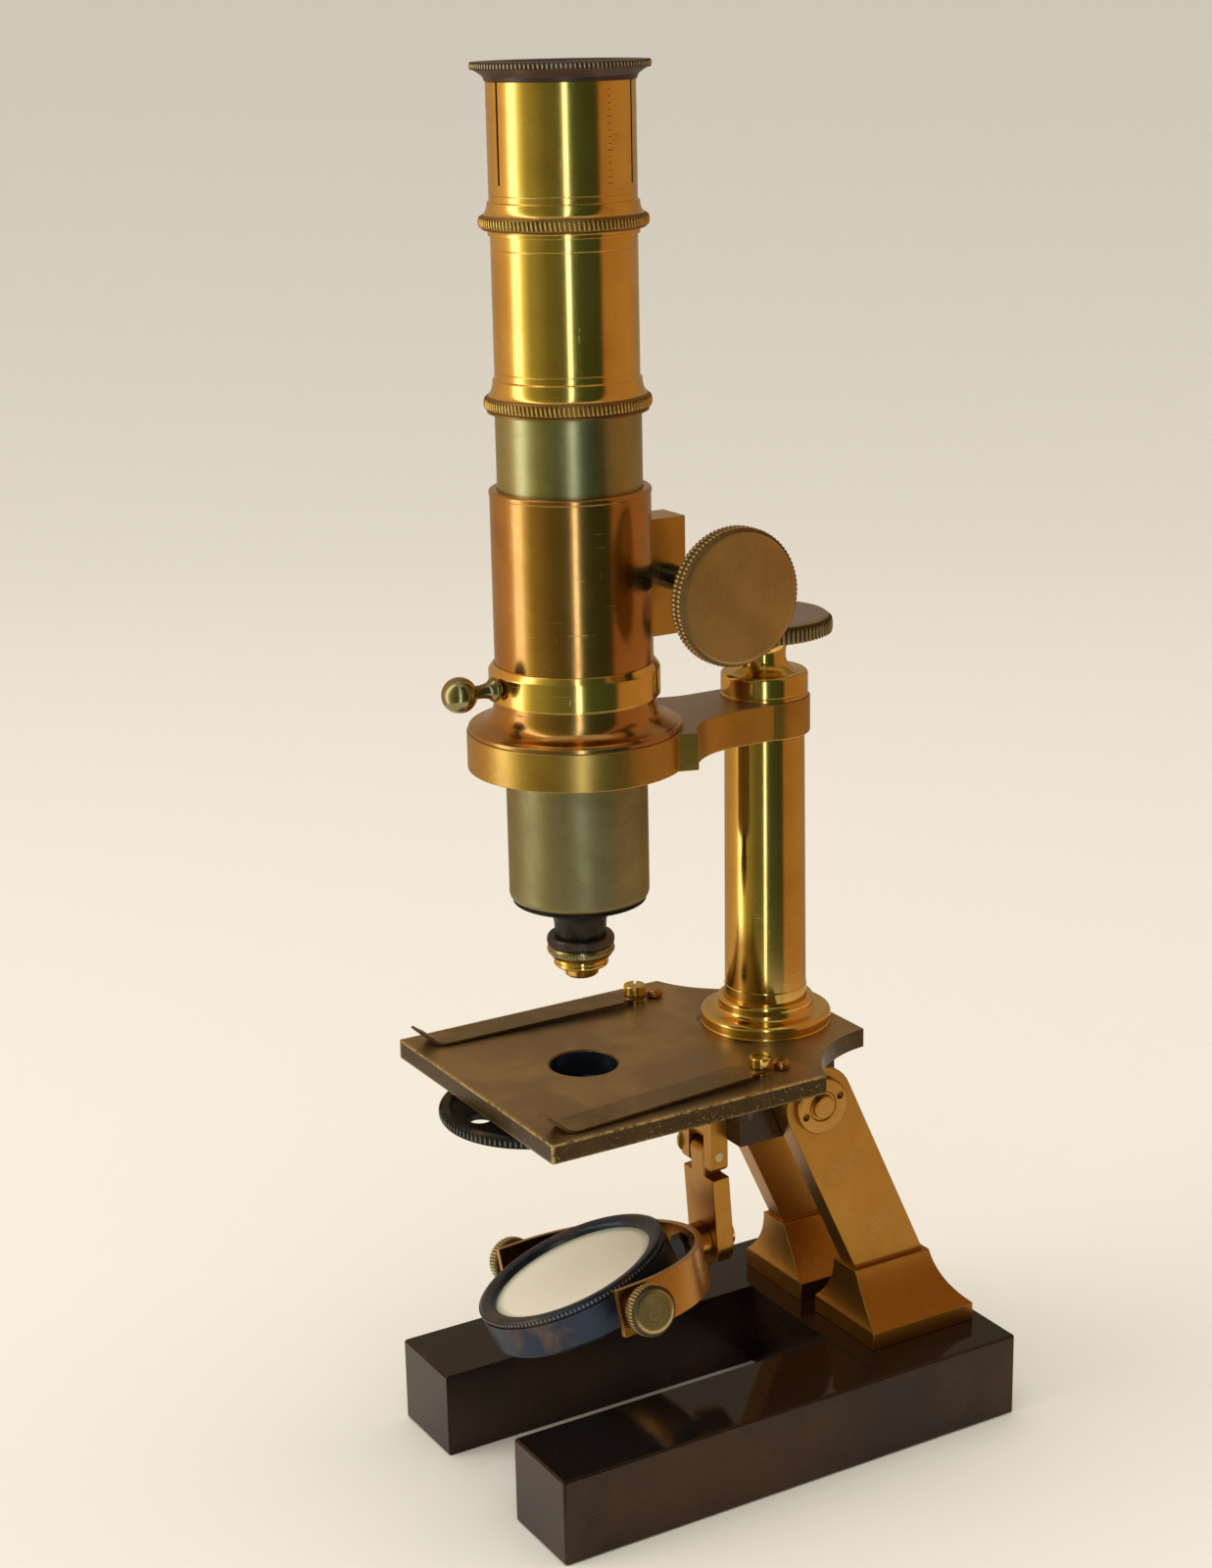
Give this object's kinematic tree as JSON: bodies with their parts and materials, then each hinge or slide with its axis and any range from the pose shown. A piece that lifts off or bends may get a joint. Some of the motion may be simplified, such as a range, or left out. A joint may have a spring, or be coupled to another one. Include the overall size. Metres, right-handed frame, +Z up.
{
  "type": "microscope",
  "caption": "Antique brass monocular microscope on a black horseshoe foot, with rack focus, fine-focus pillar, tilting stage, diaphragm disc and swivelling mirror.",
  "frame": {"origin": "centre of the whole object's bounding box in X and Y, at the underside of the foot", "axes": "+X to the right seen from the open end of the horseshoe, +Y to the back where the pillar stands, +Z up along the tube"},
  "size_m": [0.08, 0.1334, 0.3274],
  "materials": {
    "lacquered_brass": "polished brass under golden lacquer, worn and warm in tone",
    "red_lacquered_brass": "polished brass under reddish copper-toned lacquer",
    "bare_brass": "bare olive-grey brass, drawn tube with a dull satin surface",
    "satin_brass": "orange-brown satin brass, flat filed faces",
    "bronzed_brass": "dark bronzed brass with bright worn edges and specks",
    "black_japan": "glossy black baked lacquer over iron, slightly brown",
    "blackened_brass": "chemically blackened brass, purple-brown to blue-black, satin",
    "blued_steel": "dark blued steel",
    "screw_steel": "small slotted steel screws",
    "optical_glass": "clear ground lenses",
    "silvered_glass": "silvered mirror glass"
  },
  "bodies": {
    "base": {"horseshoe_foot": "black_japan", "left_upright": "satin_brass", "right_upright": "satin_brass", "upright_screws": "screw_steel", "trunnion_caps": "satin_brass", "trunnion_axle": "blued_steel"},
    "stage_group": {"stage_plate": "bronzed_brass", "hinge_block": "black_japan", "hinge_block_screws": "screw_steel", "pillar_base_flange": "lacquered_brass", "guide_bar": "blued_steel", "fine_focus_screw": "blued_steel", "diaphragm_pivot_screw": "blued_steel", "clip_posts": "lacquered_brass", "clip_pins": "satin_brass", "mirror_bracket": "satin_brass", "bracket_screws": "screw_steel", "mirror_pivot_screw": "satin_brass"},
    "limb": {"pillar_tube": "lacquered_brass", "guide_bushings": "blued_steel", "pillar_cap": "lacquered_brass", "arm": "satin_brass", "jacket": "red_lacquered_brass", "jacket_flange": "red_lacquered_brass", "clamp_collar": "lacquered_brass", "pinion_housing": "lacquered_brass", "housing_screws": "screw_steel"},
    "fine_knob": {"fine_focus_knob": "satin_brass"},
    "clamp_screw": {"ball_clamp_screw": "lacquered_brass"},
    "coarse_drive": {"pinion_shaft": "blued_steel", "right_focus_knob": "satin_brass", "left_focus_knob": "satin_brass"},
    "main_tube": {"body_tube": "bare_brass", "rack": "bare_brass", "extension_tube": "lacquered_brass", "nose_adapter": "blackened_brass", "objective_upper_cell": "blackened_brass", "objective_middle_cell": "lacquered_brass", "objective_front_cell": "lacquered_brass", "objective_front_lens": "optical_glass"},
    "draw_group": {"draw_tube_head": "lacquered_brass", "draw_tube": "bare_brass"},
    "eyepiece": {"eyepiece_cap": "blackened_brass", "eyepiece_barrel": "bare_brass", "eye_lens": "optical_glass", "field_lens": "optical_glass"},
    "diaphragm": {"diaphragm_disc": "bronzed_brass"},
    "right_clip": {"right_stage_clip": "bronzed_brass"},
    "left_clip": {"left_stage_clip": "bronzed_brass"},
    "swing_arm": {"mirror_arm": "satin_brass"},
    "fork_group": {"mirror_fork": "red_lacquered_brass", "fork_pivot_stud": "blued_steel", "fork_pivot_nut": "lacquered_brass", "mirror_screws": "lacquered_brass"},
    "mirror": {"mirror_cell": "blackened_brass", "mirror_bezel": "blackened_brass", "mirror_glass": "silvered_glass", "mirror_seat_ring": "blackened_brass"}
  },
  "joints": [
    {"name": "inclination", "type": "hinge", "parent": "base", "child": "stage_group", "pos_m": [0, 0.02275, 0.0854], "axis": [-1, 0, 0], "range_deg": [0, 72]},
    {"name": "fine_focus", "type": "slide", "parent": "stage_group", "child": "limb", "axis": [0, 0, 1], "range_m": [-0.0012, 0.0012]},
    {"name": "fine_knob_turn", "type": "hinge", "parent": "limb", "child": "fine_knob", "pos_m": [0, 0.01975, 0.197], "axis": [0, 0, 1], "range_deg": [-870, 870]},
    {"name": "coarse_focus", "type": "slide", "parent": "limb", "child": "main_tube", "axis": [0, 0, 1], "range_m": [-0.016, 0.02]},
    {"name": "pinion_turn", "type": "hinge", "parent": "limb", "child": "coarse_drive", "pos_m": [0, -0.00866, 0.2153], "axis": [-1, 0, 0], "range_deg": [-256, 320]},
    {"name": "draw_tube_pull", "type": "slide", "parent": "main_tube", "child": "draw_group", "axis": [0, 0, 1], "range_m": [0, 0.045]},
    {"name": "eyepiece_lift", "type": "slide", "parent": "draw_group", "child": "eyepiece", "axis": [0, 0, 1], "range_m": [0, 0.042]},
    {"name": "clamp_turn", "type": "hinge", "parent": "limb", "child": "clamp_screw", "pos_m": [0, -0.05035, 0.1944], "axis": [0, -1, 0], "range_deg": [-180, 180]},
    {"name": "diaphragm_turn", "type": "hinge", "parent": "stage_group", "child": "diaphragm", "pos_m": [0, -0.04495, 0.0952], "axis": [0, 0, 1], "continuous": true},
    {"name": "right_clip_swing", "type": "hinge", "parent": "stage_group", "child": "right_clip", "pos_m": [0.028, -0.00025, 0.1018], "axis": [0, 0, 1], "range_deg": [-20, 60]},
    {"name": "left_clip_swing", "type": "hinge", "parent": "stage_group", "child": "left_clip", "pos_m": [-0.028, -0.00025, 0.1018], "axis": [0, 0, -1], "range_deg": [-20, 60]},
    {"name": "mirror_arm_swing", "type": "hinge", "parent": "stage_group", "child": "swing_arm", "pos_m": [0, 0.00195, 0.0722], "axis": [1, 0, 0], "range_deg": [-24, 12]},
    {"name": "fork_swivel", "type": "hinge", "parent": "swing_arm", "child": "fork_group", "pos_m": [0, 0.00361, 0.04846], "axis": [0, 0.9976, 0.0698], "range_deg": [-11, 38]},
    {"name": "mirror_tilt", "type": "hinge", "parent": "fork_group", "child": "mirror", "pos_m": [0, -0.0341, 0.04582], "axis": [0.9724, -0.0163, 0.2329], "continuous": true}
  ],
  "couplings": [
    {"joint": "fine_knob_turn", "follows": "fine_focus", "rad_per_m": 12566},
    {"joint": "pinion_turn", "follows": "coarse_focus", "rad_per_m": 277.78}
  ]
}
